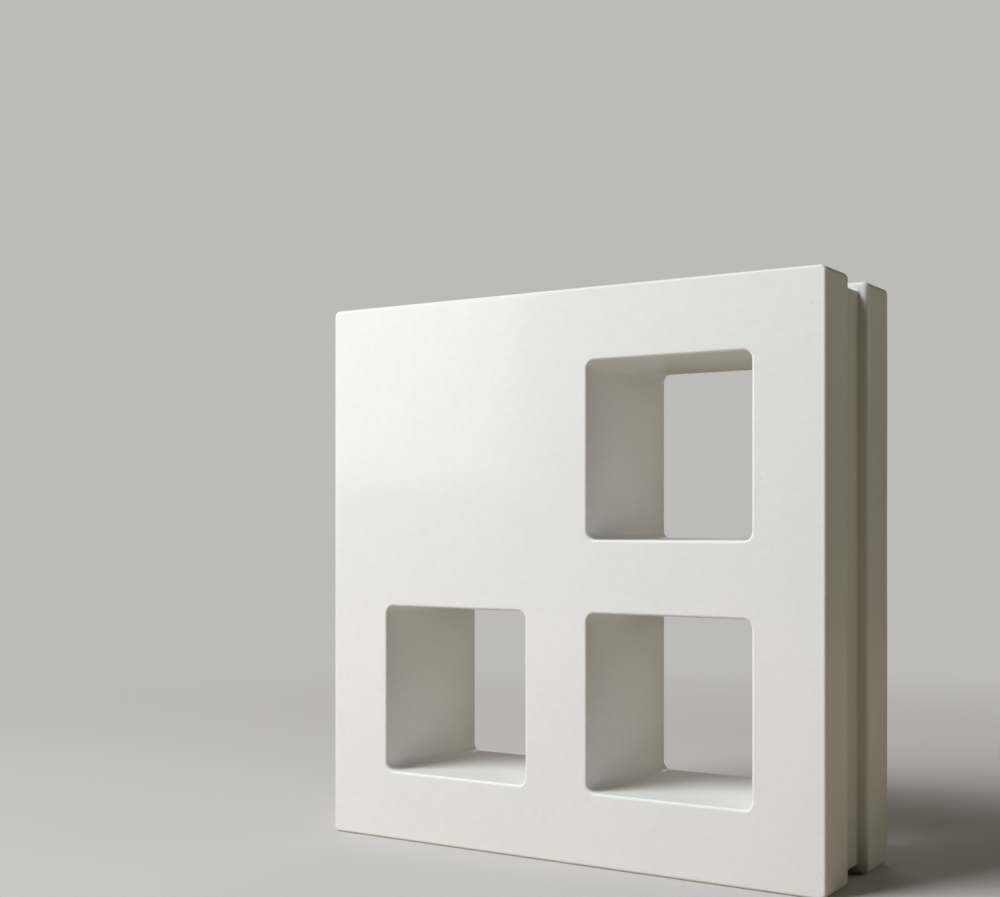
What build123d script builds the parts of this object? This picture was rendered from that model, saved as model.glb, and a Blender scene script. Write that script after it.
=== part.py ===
from build123d import *
import os

# A screen wall block (breeze block), cast in one piece from white concrete.
# It stands on its bed with the front face towards -Y and +Z up. The origin is
# at the middle of the bed. Three of its four quarters have a square window that
# goes right through, and a shallow mortar groove runs round all four edges.
# Sizes are in millimetres.

# Body
SIDE = 305.0                  # width and height of the square face
DEPTH = 89.0                  # front face to back face
CORNER_RADIUS = 3.5           # the body's four corners, seen from the front
ARRIS_RADIUS = 1.5            # softened edge round the front and the back face

# Windows
RIM = 39.0                    # concrete between a window and the block's outside
WEB = 39.0                    # concrete between two neighbouring windows
WINDOW_CORNER_RADIUS = 4.5    # a window's four corners, seen from the front
WINDOW_ARRIS_RADIUS = 1.5     # softened edge where a window meets a face

# Mortar groove
GROOVE_WIDTH = 27.0           # across the edge, at mid depth
GROOVE_DEPTH = 5.0            # from the block's outside to the groove's floor
GROOVE_CORNER_RADIUS = 1.5    # the floor's own corners, seen from the front
GROOVE_ARRIS_RADIUS = 2.5     # where the groove's walls meet the outside
GROOVE_FLOOR_RADIUS = 1.5     # where the groove's walls meet its floor

# Where each quarter lies, as (column, row) counted from the lower left.
OPEN_QUARTERS = [(0, 0), (1, 0), (1, 1)]

window_side = (SIDE - 2 * RIM - WEB) / 2
window_pitch = window_side + WEB
front = Plane.XZ.offset(DEPTH / 2)
middle = (0, SIDE / 2)


def body():
    """The full block before anything is cut out of it."""
    outline = Pos(*middle) * RectangleRounded(SIDE, SIDE, CORNER_RADIUS)
    return extrude(front * outline, amount=-DEPTH)


def window(column, row):
    """One window's void, from the front face to the back face."""
    x = (column - 0.5) * window_pitch
    z = SIDE / 2 + (row - 0.5) * window_pitch
    outline = Pos(x, z) * RectangleRounded(window_side, window_side, WINDOW_CORNER_RADIUS)
    return extrude(front * outline, amount=-DEPTH)


def groove():
    """The mortar groove's void: a square ring round the block at mid depth."""
    floor_side = SIDE - 2 * GROOVE_DEPTH
    ring = Rectangle(SIDE, SIDE) - RectangleRounded(floor_side, floor_side, GROOVE_CORNER_RADIUS)
    return extrude(Plane.XZ * (Pos(*middle) * ring), amount=GROOVE_WIDTH / 2, both=True)


def faces_at(solid, y):
    """The flat faces that lie square to Y at the given place."""
    return [f for f in solid.faces().filter_by(Axis.Y) if abs(f.center().Y - y) < 0.01]


def soften_face(solid, y):
    """Rounds the outer arris and the window arrises of the face at y."""
    outer = faces_at(solid, y)[0].outer_wire().edges()
    solid = fillet(outer, ARRIS_RADIUS)
    inner = [e for w in faces_at(solid, y)[0].inner_wires() for e in w.edges()]
    return fillet(inner, WINDOW_ARRIS_RADIUS)


def soften_groove_wall(solid, y):
    """Rounds the groove wall at y where it meets the outside and the floor."""
    outer = faces_at(solid, y)[0].outer_wire().edges()
    solid = fillet(outer, GROOVE_ARRIS_RADIUS)
    inner = [e for w in faces_at(solid, y)[0].inner_wires() for e in w.edges()]
    return fillet(inner, GROOVE_FLOOR_RADIUS)


block = body() - groove()
for column, row in OPEN_QUARTERS:
    block -= window(column, row)
for y in (-DEPTH / 2, DEPTH / 2):
    block = soften_face(block, y)
for y in (-GROOVE_WIDTH / 2, GROOVE_WIDTH / 2):
    block = soften_groove_wall(block, y)

os.makedirs("parts", exist_ok=True)
export_step(block, "parts/breeze_block.step")
print(f"breeze_block: windows {window_side:.1f} mm square, {block.volume / 1e6:.3f} litres")
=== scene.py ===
import math

import bmesh
import bpy
import numpy as np
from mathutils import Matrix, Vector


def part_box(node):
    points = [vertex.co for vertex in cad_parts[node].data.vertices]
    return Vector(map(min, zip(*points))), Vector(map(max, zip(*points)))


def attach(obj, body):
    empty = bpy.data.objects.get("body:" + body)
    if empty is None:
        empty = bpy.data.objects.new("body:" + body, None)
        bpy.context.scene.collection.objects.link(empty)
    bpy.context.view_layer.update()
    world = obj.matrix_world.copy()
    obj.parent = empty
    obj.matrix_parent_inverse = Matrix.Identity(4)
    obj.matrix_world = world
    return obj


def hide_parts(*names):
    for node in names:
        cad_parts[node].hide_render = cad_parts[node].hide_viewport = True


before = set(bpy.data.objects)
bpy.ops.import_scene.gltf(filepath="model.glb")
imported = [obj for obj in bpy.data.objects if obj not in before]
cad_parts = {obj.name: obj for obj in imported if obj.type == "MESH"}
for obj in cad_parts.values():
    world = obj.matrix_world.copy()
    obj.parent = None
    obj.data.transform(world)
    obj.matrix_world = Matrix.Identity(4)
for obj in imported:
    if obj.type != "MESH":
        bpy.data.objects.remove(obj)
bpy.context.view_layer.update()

# The block: one casting of white concrete, struck from a smooth mould. It is square,
# with square windows in three of its quarters and a mortar groove round its edges.
# Every arris is softened, so that it strikes from the mould without chipping.

MM = 0.001
block_low, block_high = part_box("breeze_block")
SIDE = block_high.x - block_low.x
DEPTH = block_high.y - block_low.y
MIDDLE_Z = (block_low.z + block_high.z) / 2
CORNER_RADIUS = 3.5 * MM
ARRIS_RADIUS = 1.5 * MM
RIM = 39.0 * MM
WEB = 39.0 * MM
WINDOW = (SIDE - 2 * RIM - WEB) / 2
WINDOW_PITCH = WINDOW + WEB
WINDOW_CORNER_RADIUS = 4.5 * MM
WINDOW_ARRIS_RADIUS = 1.5 * MM
GROOVE_WIDTH = 27.0 * MM
GROOVE_DEPTH = 5.0 * MM
GROOVE_CORNER_RADIUS = 1.5 * MM
GROOVE_ARRIS_RADIUS = 2.5 * MM
GROOVE_FLOOR_RADIUS = 1.5 * MM
OPEN_QUARTERS = ((0, 0), (1, 0), (1, 1))
BLANK_QUARTER = (0, 1)

# Mesh steps: along a quarter's side between its rounded corners, over half of a rounded corner,
# over each rounding, and from end to end of each flat.
STRAIGHT_STEPS = 36
HALF_CORNER_STEPS = 5
SIDE_STEPS = STRAIGHT_STEPS + 2 * HALF_CORNER_STEPS
ARRIS_STEPS = 8
LIP_STEPS = 4
ROOT_STEPS = 6
EDGE_STRIP_STEPS = 8
GROOVE_WALL_STEPS = 2
GROOVE_FLOOR_STEPS = 8
WINDOW_WALL_STEPS = 22
FACE_STEPS = 14
HOLD = 0.4 * MM              # a narrow strip beside each rounding, which keeps the flats flat
FACE_HOLD = 0.012            # the same on the faces, as a share of the way from outline to window
WELD = 0.002 * MM            # points nearer than this are one


def corner_arc(centre, radius, start_degrees, steps):
    """Points of a quarter circle about centre, counter-clockwise from the start angle."""
    angle = np.radians(start_degrees + np.linspace(0, 90, steps + 1))
    return np.stack([centre[0] + radius * np.cos(angle), centre[1] + radius * np.sin(angle)], axis=1)


def rounded_square(centre, side, radius):
    """One window's closed outline: four straight sides joined by quarter circles. Each of the
    four runs goes from the middle of one corner to the middle of the next, counter-clockwise
    from the lower left corner, so that it pairs with one side of the quarter around it."""
    reach = side / 2 - radius
    runs = []
    for k in range(4):
        turn = math.radians(90 * k)
        here = (-reach, -reach), (reach, -reach)
        start, end = [(x * math.cos(turn) - z * math.sin(turn) + centre[0],
                       x * math.sin(turn) + z * math.cos(turn) + centre[1]) for x, z in here]
        first = corner_arc(start, radius, 180 + 90 * k, 2 * HALF_CORNER_STEPS)[HALF_CORNER_STEPS:]
        last = corner_arc(end, radius, 270 + 90 * k, 2 * HALF_CORNER_STEPS)[:HALF_CORNER_STEPS + 1]
        share = np.linspace(0, 1, STRAIGHT_STEPS + 1)[1:-1, None]
        between = first[-1] * (1 - share) + last[0] * share
        runs.append(np.concatenate([first, between, last]))
    return runs


def block_outline(inset, radius):
    """The block's outline, drawn in by inset: eight runs, each from the middle of a side to the
    middle of a corner or back, counter-clockwise from the middle of the bottom."""
    reach = SIDE / 2 - inset - radius
    runs = []
    for k in range(4):
        turn = math.radians(90 * k)
        spin = np.array([[math.cos(turn), math.sin(turn)], [-math.sin(turn), math.cos(turn)]])
        arc = corner_arc((reach, -reach), radius, 270, 2 * HALF_CORNER_STEPS)
        share = np.linspace(0, 1, SIDE_STEPS - HALF_CORNER_STEPS + 1)[:, None]
        middle = np.array([0.0, -SIDE / 2 + inset])
        down = np.concatenate([middle * (1 - share) + arc[0] * share, arc[1:HALF_CORNER_STEPS + 1]])
        next_middle = np.array([SIDE / 2 - inset, 0.0])
        up = np.concatenate([arc[HALF_CORNER_STEPS:-1], arc[-1] * (1 - share) + next_middle * share])
        runs += [down @ spin, up @ spin]
    return runs


def closed(runs):
    """Joins runs that meet end to end into one closed row of points."""
    return np.concatenate([run[:-1] for run in runs])


def rounding(from_angle, to_angle, radius, centre, steps):
    """A quarter circle of the profile: rows of (inset, y) about centre."""
    angle = np.radians(np.linspace(from_angle, to_angle, steps + 1))
    return np.stack([centre[0] + radius * np.cos(angle), centre[1] + radius * np.sin(angle)], axis=1)


def straight(start, end, steps):
    """The rows between two places of the profile, without its ends: the first and the last lie
    one narrow strip in, and the rest are spread evenly between them."""
    length = math.dist(start, end)
    share = np.linspace(HOLD / length, 1 - HOLD / length, steps + 1)[:, None]
    return np.array(start) * (1 - share) + np.array(end) * share


def grid_faces(rows, columns, wrap):
    """Corner numbers of a grid's quads, row by row. With wrap, the last column joins the first."""
    row = np.arange(rows - 1)[:, None]
    column = np.arange(columns if wrap else columns - 1)[None, :]
    beside = (column + 1) % columns
    quads = [row * columns + column, row * columns + beside,
             (row + 1) * columns + beside, (row + 1) * columns + column]
    return np.stack(np.broadcast_arrays(*quads), axis=-1).reshape(-1, 4)


patches = []


def add_patch(grid, wrap, flip):
    """Keeps one grid of points, with its quads turned so that they face outwards."""
    quads = grid_faces(grid.shape[0], grid.shape[1], wrap)
    patches.append((grid.reshape(-1, 3), quads[:, ::-1] if flip else quads))


def in_block(points, y):
    """Places flat (x, z) points, measured from the block's middle, at depth y."""
    y = np.broadcast_to(y, points.shape[:-1])
    return np.stack([points[..., 0], y, points[..., 1] + MIDDLE_Z], axis=-1)


# The edges and the groove. The profile is written as (inset, y) and carried round the block.
# Where it goes in, the outline's corner radius changes with it.
face_y = -DEPTH / 2
lip_y = -GROOVE_WIDTH / 2
arris_centre = (ARRIS_RADIUS, face_y + ARRIS_RADIUS)
arris = rounding(180, 270, ARRIS_RADIUS, arris_centre, ARRIS_STEPS)[::-1]
lip_centre = (GROOVE_ARRIS_RADIUS, lip_y - GROOVE_ARRIS_RADIUS)
lip = rounding(180, 90, GROOVE_ARRIS_RADIUS, lip_centre, LIP_STEPS)
root_centre = (GROOVE_DEPTH - GROOVE_FLOOR_RADIUS, lip_y + GROOVE_FLOOR_RADIUS)
root = rounding(-90, 0, GROOVE_FLOOR_RADIUS, root_centre, ROOT_STEPS)
front_half = np.concatenate([
    arris,
    straight(arris[-1], lip[0], EDGE_STRIP_STEPS),
    lip,
    straight(lip[-1], root[0], GROOVE_WALL_STEPS),
    root,
])
floor_rows = straight(root[-1], root[-1] * [1, -1], GROOVE_FLOOR_STEPS)
profile = np.concatenate([front_half, floor_rows, front_half[::-1] * [1, -1]])
edge_rows = []
for inset, y in profile:
    corner_radius = np.interp(
        inset,
        [0, GROOVE_ARRIS_RADIUS, GROOVE_DEPTH - GROOVE_FLOOR_RADIUS, GROOVE_DEPTH],
        [CORNER_RADIUS, CORNER_RADIUS - GROOVE_ARRIS_RADIUS,
         GROOVE_CORNER_RADIUS + GROOVE_FLOOR_RADIUS, GROOVE_CORNER_RADIUS],
    )
    edge_rows.append(in_block(closed(block_outline(inset, corner_radius)), y))
add_patch(np.stack(edge_rows), wrap=True, flip=True)


# The windows. Each tunnel is its rounded square carried from arris to arris.
window_arris_centre = (-WINDOW_ARRIS_RADIUS, face_y + WINDOW_ARRIS_RADIUS)
window_arris = rounding(270, 360, WINDOW_ARRIS_RADIUS, window_arris_centre, ARRIS_STEPS)
window_walls = straight(window_arris[-1], window_arris[-1] * [1, -1], WINDOW_WALL_STEPS)
window_profile = np.concatenate([window_arris, window_walls, window_arris[::-1] * [1, -1]])


def window_outline(column, row, inset):
    """A quarter's window, drawn in by inset, as one closed row of points."""
    centre = ((column - 0.5) * WINDOW_PITCH, (row - 0.5) * WINDOW_PITCH)
    return closed(rounded_square(centre, WINDOW - 2 * inset, WINDOW_CORNER_RADIUS - inset))


for column, row in OPEN_QUARTERS:
    window_rows = [in_block(window_outline(column, row, inset), y) for inset, y in window_profile]
    add_patch(np.stack(window_rows), wrap=True, flip=False)


# The front and back faces, quarter by quarter: rings round each window, and a sheet over the
# blank quarter.
outline = block_outline(ARRIS_RADIUS, CORNER_RADIUS - ARRIS_RADIUS)
ring_shares = np.linspace(FACE_HOLD, 1 - FACE_HOLD, FACE_STEPS + 1)
ring_shares = np.concatenate([[0], ring_shares, [1]])[:, None, None]


def row_between(start, end):
    """A straight row from start to end, with as many even steps as a quarter's side has."""
    share = np.linspace(0, 1, SIDE_STEPS + 1)[:, None]
    return start * (1 - share) + end * share


def quarter_sides(column, row):
    """The four sides of a quarter, counter-clockwise from its lower left corner. Its outer sides
    follow the block's outline and its inner sides run to the block's middle."""
    middle = np.zeros(2)
    if (column, row) == (0, 0):
        bottom, left = outline[7], outline[6]
        return bottom, row_between(bottom[-1], middle), row_between(middle, left[0]), left
    if (column, row) == (1, 0):
        bottom, right = outline[0], outline[1]
        return bottom, right, row_between(right[-1], middle), row_between(middle, bottom[0])
    if (column, row) == (1, 1):
        right, top = outline[2], outline[3]
        return row_between(middle, right[0]), right, top, row_between(top[-1], middle)
    top, left = outline[4], outline[5]
    return row_between(left[-1], middle), row_between(middle, top[0]), top, left


def sheet_between(bottom, right, top, left):
    """A grid that fills four sides: the straight blend from bottom to top, plus the one from left
    to right, less the blend of the four corners, which both of them hold."""
    top, left = top[::-1], left[::-1]
    u = np.linspace(0, 1, SIDE_STEPS + 1)[None, :, None]
    v = np.linspace(0, 1, SIDE_STEPS + 1)[:, None, None]
    up = bottom[None] * (1 - v) + top[None] * v
    across = left[:, None] * (1 - u) + right[:, None] * u
    low_corners = bottom[0] * (1 - u) * (1 - v) + bottom[-1] * u * (1 - v)
    high_corners = top[0] * (1 - u) * v + top[-1] * u * v
    return up + across - low_corners - high_corners


for y, flip in ((face_y, False), (-face_y, True)):
    for column, row in OPEN_QUARTERS:
        around = closed(quarter_sides(column, row))
        hole = window_outline(column, row, -WINDOW_ARRIS_RADIUS)
        ring = around[None] * (1 - ring_shares) + hole[None] * ring_shares
        add_patch(in_block(ring, y), wrap=True, flip=flip)
    add_patch(in_block(sheet_between(*quarter_sides(*BLANK_QUARTER)), y), wrap=False, flip=flip)

points = np.concatenate([p for p, _ in patches])
offsets = np.cumsum([0] + [len(p) for p, _ in patches[:-1]])
quads = np.concatenate([q + offset for (_, q), offset in zip(patches, offsets)])
mesh = bpy.data.meshes.new("screen_block")
mesh.from_pydata(points.tolist(), [], quads.tolist())
shape = bmesh.new()
shape.from_mesh(mesh)
bmesh.ops.remove_doubles(shape, verts=shape.verts, dist=WELD)
shape.to_mesh(mesh)
shape.free()
mesh.polygons.foreach_set("use_smooth", np.ones(len(mesh.polygons), dtype=bool))
mesh.update()

# No casting is quite flat. Its skin lies in from the true surface by up to WAVE_DEPTH, in long
# soft waves, which bend what the satin surface reflects. The bed stays flat.
WAVE_DEPTH = 0.12 * MM
WAVE_LENGTHS = np.array([97, 83, 71, 61, 53, 47]) * MM
WAVE_FADE = 4.0 * MM         # height above the bed at which the waves are whole
WAVE_SEED = 7
directions = np.random.default_rng(WAVE_SEED).normal(size=(len(WAVE_LENGTHS), 3))
directions /= np.linalg.norm(directions, axis=1, keepdims=True)

place = np.empty(len(mesh.vertices) * 3)
mesh.vertices.foreach_get("co", place)
place = place.reshape(-1, 3)
outwards = np.empty(len(mesh.vertices) * 3)
mesh.vertex_normals.foreach_get("vector", outwards)
phase = place @ (directions * 2 * math.pi / WAVE_LENGTHS[:, None]).T
waves = 0.5 + 0.5 * np.sin(phase + np.arange(len(WAVE_LENGTHS))).mean(axis=1)
waves *= np.clip(place[:, 2] / WAVE_FADE, 0, 1)
place -= outwards.reshape(-1, 3) * (WAVE_DEPTH * waves)[:, None]
mesh.vertices.foreach_set("co", place.ravel())
mesh.update()

# The groove is left raw, because mortar grips raw concrete best, and its colour is darkened there with
# painted shade of the recess.
# How raw and shaded the skin is, is kept as an attribute. It rises smoothly from 0 at the top of the lip's
# rounding to 1 at its foot, and stays 1 down to the groove's floor. It follows the inset, the depth below
# the block's rounded outline.
from_corner = np.abs(place[:, [0, 2]] - [0, MIDDLE_Z]) - (SIDE / 2 - CORNER_RADIUS)
past_corner = np.linalg.norm(np.maximum(from_corner, 0), axis=1)
inset = CORNER_RADIUS - past_corner - np.minimum(from_corner.max(axis=1), 0)
over_lip = np.clip(inset / GROOVE_ARRIS_RADIUS, 0, 1)
at_groove = np.abs(place[:, 1]) < GROOVE_WIDTH / 2 + GROOVE_ARRIS_RADIUS
outside_windows = inset < RIM / 2
rawness_and_shade = np.where(at_groove & outside_windows, over_lip ** 2 * (3 - 2 * over_lip), 0.0)
mesh.attributes.new("raw_and_shade", "FLOAT", "POINT").data.foreach_set("value", rawness_and_shade)

block = bpy.data.objects.new("screen_block", mesh)
bpy.context.collection.objects.link(block)
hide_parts("breeze_block")
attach(block, "root")

# White concrete: white cement and pale sand, sealed to a low satin. Its tone drifts a little over
# a hand's width, is mottled over millimetres and has fine sand in it, with a few small air holes,
# which are darkened inside with painted shade.
# In the groove it is rougher and unsealed, and its colour is darker: painted shade of the recess.
CONCRETE_DARK = (0.849, 0.843, 0.818, 1)
CONCRETE_LIGHT = (0.905, 0.901, 0.884, 1)
# painted shade: the darker colour of the groove, where shade falls in the recess
GROOVE_PAINTED_SHADE = (0.735, 0.722, 0.690, 1)
# painted shade: the dark colour inside the air holes
HOLE_PAINTED_SHADE = (0.42, 0.40, 0.35, 1)
PINHOLE_RADIUS, PINHOLES_PER_METRE = 0.34 * MM, 80
PORE_RADIUS, PORES_PER_METRE = 0.15 * MM, 420
SATIN_LEAST, SATIN_MOST = 0.40, 0.50    # roughness of the sealed skin
RAW_ROUGHER = 0.25                      # added to the roughness in the groove
SEALER, SEALER_ROUGHNESS = 0.4, 0.10    # the coat's weight and its own roughness
RELIEF_DEPTH = 0.05 * MM

concrete = bpy.data.materials.new("white_concrete")
concrete.use_nodes = True
tree = concrete.node_tree
shader = tree.nodes["Principled BSDF"]
on_block = tree.nodes.new("ShaderNodeTexCoord").outputs["Object"]


def grain(tree, place, per_metre, detail):
    """Noise with per_metre features to the metre, stretched about its middle to run from 0 to 1."""
    half_range = 0.18
    noise = tree.nodes.new("ShaderNodeTexNoise")
    noise.inputs["Scale"].default_value = per_metre
    noise.inputs["Detail"].default_value = detail
    tree.links.new(place, noise.inputs["Vector"])
    stretch = tree.nodes.new("ShaderNodeMapRange")
    stretch.inputs["From Min"].default_value = 0.5 - half_range
    stretch.inputs["From Max"].default_value = 0.5 + half_range
    tree.links.new(noise.outputs["Fac"], stretch.inputs["Value"])
    return stretch.outputs["Result"]


def air_holes(tree, place, per_metre, radius):
    """A mask of round holes: 1 inside, 0 outside. One ball of the given radius lies at each cell
    of a Voronoi pattern with per_metre cells to the metre, and the surface cuts a few of them."""
    flat_share = 0.6
    cells = tree.nodes.new("ShaderNodeTexVoronoi")
    cells.inputs["Scale"].default_value = per_metre
    tree.links.new(place, cells.inputs["Vector"])
    rim = tree.nodes.new("ShaderNodeMapRange")
    rim.interpolation_type = "SMOOTHSTEP"
    rim.inputs["From Min"].default_value = flat_share * radius * per_metre
    rim.inputs["From Max"].default_value = radius * per_metre
    rim.inputs["To Min"].default_value = 1.0
    rim.inputs["To Max"].default_value = 0.0
    tree.links.new(cells.outputs["Distance"], rim.inputs["Value"])
    return rim.outputs["Result"]


def weigh(tree, parts):
    """The sum of several values, each times its own share."""
    total = None
    for value, share in parts:
        times = tree.nodes.new("ShaderNodeMath")
        times.operation = "MULTIPLY_ADD"
        tree.links.new(value, times.inputs[0])
        times.inputs[1].default_value = share
        times.inputs[2].default_value = 0.0
        if total is not None:
            tree.links.new(total, times.inputs[2])
        total = times.outputs[0]
    return total


def mix_colours(tree, factor, first, second):
    """Goes from the first colour to the second as the factor goes from 0 to 1."""
    mix = tree.nodes.new("ShaderNodeMix")
    mix.data_type = "RGBA"
    tree.links.new(factor, mix.inputs["Factor"])
    for socket, colour in ((mix.inputs[6], first), (mix.inputs[7], second)):
        if isinstance(colour, tuple):
            socket.default_value = colour
        else:
            tree.links.new(colour, socket)
    return mix.outputs[2]


drift = grain(tree, on_block, 14, 2)
mottle = grain(tree, on_block, 220, 4)
sand = grain(tree, on_block, 1400, 1)
pinholes = air_holes(tree, on_block, PINHOLES_PER_METRE, PINHOLE_RADIUS)
pores = air_holes(tree, on_block, PORES_PER_METRE, PORE_RADIUS)
holes = weigh(tree, [(pinholes, 0.5), (pores, 0.25)])
attribute = tree.nodes.new("ShaderNodeAttribute")
attribute.attribute_name = "raw_and_shade"
raw_and_shade = attribute.outputs["Fac"]

tone = weigh(tree, [(drift, 0.26), (mottle, 0.36), (sand, 0.38)])
sealed_skin = mix_colours(tree, tone, CONCRETE_DARK, CONCRETE_LIGHT)
# Painted shade: in the groove the colour is darkened, standing in for the shade of the recess.
skin = mix_colours(tree, raw_and_shade, sealed_skin, GROOVE_PAINTED_SHADE)
# Painted shade: the air holes are darkened inside.
tree.links.new(mix_colours(tree, holes, skin, HOLE_PAINTED_SHADE), shader.inputs["Base Color"])

satin = tree.nodes.new("ShaderNodeMapRange")
satin.inputs["To Min"].default_value = SATIN_LEAST
satin.inputs["To Max"].default_value = SATIN_MOST
satin.clamp = False
raw_share = RAW_ROUGHER / (SATIN_MOST - SATIN_LEAST)
dullness = weigh(tree, [(drift, 0.4), (mottle, 0.4), (holes, 1.0), (raw_and_shade, raw_share)])
tree.links.new(dullness, satin.inputs["Value"])
tree.links.new(satin.outputs["Result"], shader.inputs["Roughness"])

relief = tree.nodes.new("ShaderNodeBump")
relief.inputs["Strength"].default_value = 1.0
relief.inputs["Distance"].default_value = RELIEF_DEPTH
height = weigh(tree, [(mottle, 0.35), (sand, 0.14), (pinholes, -3.0), (pores, -1.0)])
tree.links.new(height, relief.inputs["Height"])
tree.links.new(relief.outputs["Normal"], shader.inputs["Normal"])

sealer = tree.nodes.new("ShaderNodeMapRange")
sealer.inputs["To Min"].default_value = SEALER
sealer.inputs["To Max"].default_value = 0.0
tree.links.new(raw_and_shade, sealer.inputs["Value"])
tree.links.new(sealer.outputs["Result"], shader.inputs["Coat Weight"])
shader.inputs["Coat Roughness"].default_value = SEALER_ROUGHNESS
mesh.materials.append(concrete)

# The floor and the backdrop: a plain pale floor that fades, far behind the block, into a backdrop
# of the same tone. The camera sees that; what the floor throws back at the block is warm and dim.
FLOOR_RADIUS = 6.0
FLOOR_CORNERS = 64
FLOOR_ROUGHNESS = 0.9
FLOOR_SEEN = (0.60, 0.575, 0.55, 1)
FLOOR_THROWN_BACK = (0.48, 0.39, 0.305, 1)
BACKDROP = (0.50, 0.495, 0.48, 1)
FADE_FROM, FADE_TO = 0.25, 1.1    # metres from the block
AMBIENT = (0.004, 0.004, 0.004, 1)

floor_mesh = bpy.data.meshes.new("floor")
turn = np.linspace(0, 2 * math.pi, FLOOR_CORNERS, endpoint=False)
rim = np.stack([FLOOR_RADIUS * np.cos(turn), FLOOR_RADIUS * np.sin(turn), np.zeros(FLOOR_CORNERS)], axis=1)
floor_mesh.from_pydata(rim.tolist(), [], [list(range(FLOOR_CORNERS))])
floor = bpy.data.objects.new("floor", floor_mesh)
bpy.context.collection.objects.link(floor)

pale = bpy.data.materials.new("pale_floor")
pale.use_nodes = True
tree = pale.node_tree
shader = tree.nodes["Principled BSDF"]
shader.inputs["Roughness"].default_value = FLOOR_ROUGHNESS
seen = tree.nodes.new("ShaderNodeLightPath").outputs["Is Camera Ray"]
tree.links.new(mix_colours(tree, seen, FLOOR_THROWN_BACK, FLOOR_SEEN), shader.inputs["Base Color"])
distance = tree.nodes.new("ShaderNodeVectorMath")
distance.operation = "LENGTH"
tree.links.new(tree.nodes.new("ShaderNodeTexCoord").outputs["Object"], distance.inputs[0])
fade = tree.nodes.new("ShaderNodeMapRange")
fade.interpolation_type = "SMOOTHSTEP"
fade.inputs["From Min"].default_value = FADE_FROM
fade.inputs["From Max"].default_value = FADE_TO
tree.links.new(distance.outputs["Value"], fade.inputs["Value"])
far = tree.nodes.new("ShaderNodeMath")
far.operation = "MULTIPLY"
tree.links.new(fade.outputs["Result"], far.inputs[0])
tree.links.new(seen, far.inputs[1])
glow = tree.nodes.new("ShaderNodeEmission")
glow.inputs["Color"].default_value = BACKDROP
blend = tree.nodes.new("ShaderNodeMixShader")
tree.links.new(far.outputs[0], blend.inputs["Fac"])
tree.links.new(shader.outputs["BSDF"], blend.inputs[1])
tree.links.new(glow.outputs["Emission"], blend.inputs[2])
tree.links.new(blend.outputs["Shader"], tree.nodes["Material Output"].inputs["Surface"])
floor_mesh.materials.append(pale)

world = bpy.data.worlds.new("studio")
bpy.context.scene.world = world
world.use_nodes = True
tree = world.node_tree
seen = tree.nodes.new("ShaderNodeLightPath").outputs["Is Camera Ray"]
tree.links.new(mix_colours(tree, seen, AMBIENT, BACKDROP), tree.nodes["Background"].inputs["Color"])


# The light: a soft key from the upper left, a tall level panel on the left, whose reflection is the
# sheen on the satin face, and weak fills from the right and the left behind. The key doesn't show in
# gloss, where it would clip the arrises to white.
BLOCK_MIDDLE = 0.15


def softbox(name, azimuth, elevation, distance, aim_height, width, height, watts, colour, mirrored):
    """A rectangular area lamp that faces the point at aim_height above the origin. It stands
    distance metres from there, azimuth degrees to the left of the front and elevation degrees up.
    A mirrored one shows in glossy surfaces."""
    left, up = math.radians(azimuth), math.radians(elevation)
    data = bpy.data.lights.new(name, "AREA")
    data.shape = "RECTANGLE"
    data.size, data.size_y = width, height
    data.energy = watts
    data.color = colour
    lamp = bpy.data.objects.new(name, data)
    bpy.context.collection.objects.link(lamp)
    lamp.location = (-distance * math.cos(up) * math.sin(left),
                     -distance * math.cos(up) * math.cos(left),
                     aim_height + distance * math.sin(up))
    lamp.rotation_euler = (math.pi / 2 - up, 0, -left)
    lamp.visible_camera = False
    lamp.visible_glossy = mirrored


softbox("key", azimuth=38.5, elevation=44, distance=2.4, aim_height=BLOCK_MIDDLE,
        width=1.2, height=1.2, watts=64.5, colour=(0.93, 0.983, 1.0), mirrored=False)
softbox("tall_panel", azimuth=43.81, elevation=0, distance=2.015, aim_height=0.728,
        width=0.75, height=0.944, watts=7.5, colour=(1.0, 1.0, 1.0), mirrored=True)
softbox("back_left", azimuth=150, elevation=30, distance=1.6, aim_height=BLOCK_MIDDLE,
        width=1.0, height=1.0, watts=3.6, colour=(1.0, 0.94, 0.86), mirrored=True)
softbox("back_right", azimuth=-125, elevation=25, distance=1.6, aim_height=BLOCK_MIDDLE,
        width=1.2, height=1.0, watts=3.2, colour=(1.0, 0.97, 0.79), mirrored=True)

# The camera stands level, in front of the block and a little to its right.
IMAGE_WIDTH, IMAGE_HEIGHT = 1000, 897
FOCAL_PIXELS = 1459.0
CENTRE_PIXEL_X = 561.45
HORIZON_PIXEL_Y = 522.89
SENSOR_WIDTH = 36
CAMERA_RIGHT, CAMERA_AHEAD, CAMERA_HEIGHT = 0.40914, 0.70529, 0.18081
CAMERA_TURN = 0.55003    # radians, to the left
camera_data = bpy.data.cameras.new("camera")
camera_data.sensor_width = SENSOR_WIDTH
camera_data.lens = FOCAL_PIXELS * SENSOR_WIDTH / IMAGE_WIDTH
camera_data.shift_x = (IMAGE_WIDTH / 2 - CENTRE_PIXEL_X) / IMAGE_WIDTH
camera_data.shift_y = (HORIZON_PIXEL_Y - IMAGE_HEIGHT / 2) / IMAGE_WIDTH
camera = bpy.data.objects.new("camera", camera_data)
bpy.context.collection.objects.link(camera)
camera.location = (CAMERA_RIGHT, -CAMERA_AHEAD, CAMERA_HEIGHT)
camera.rotation_euler = (math.pi / 2, 0, CAMERA_TURN)
bpy.context.scene.camera = camera

bpy.context.scene.view_settings.view_transform = "Standard"
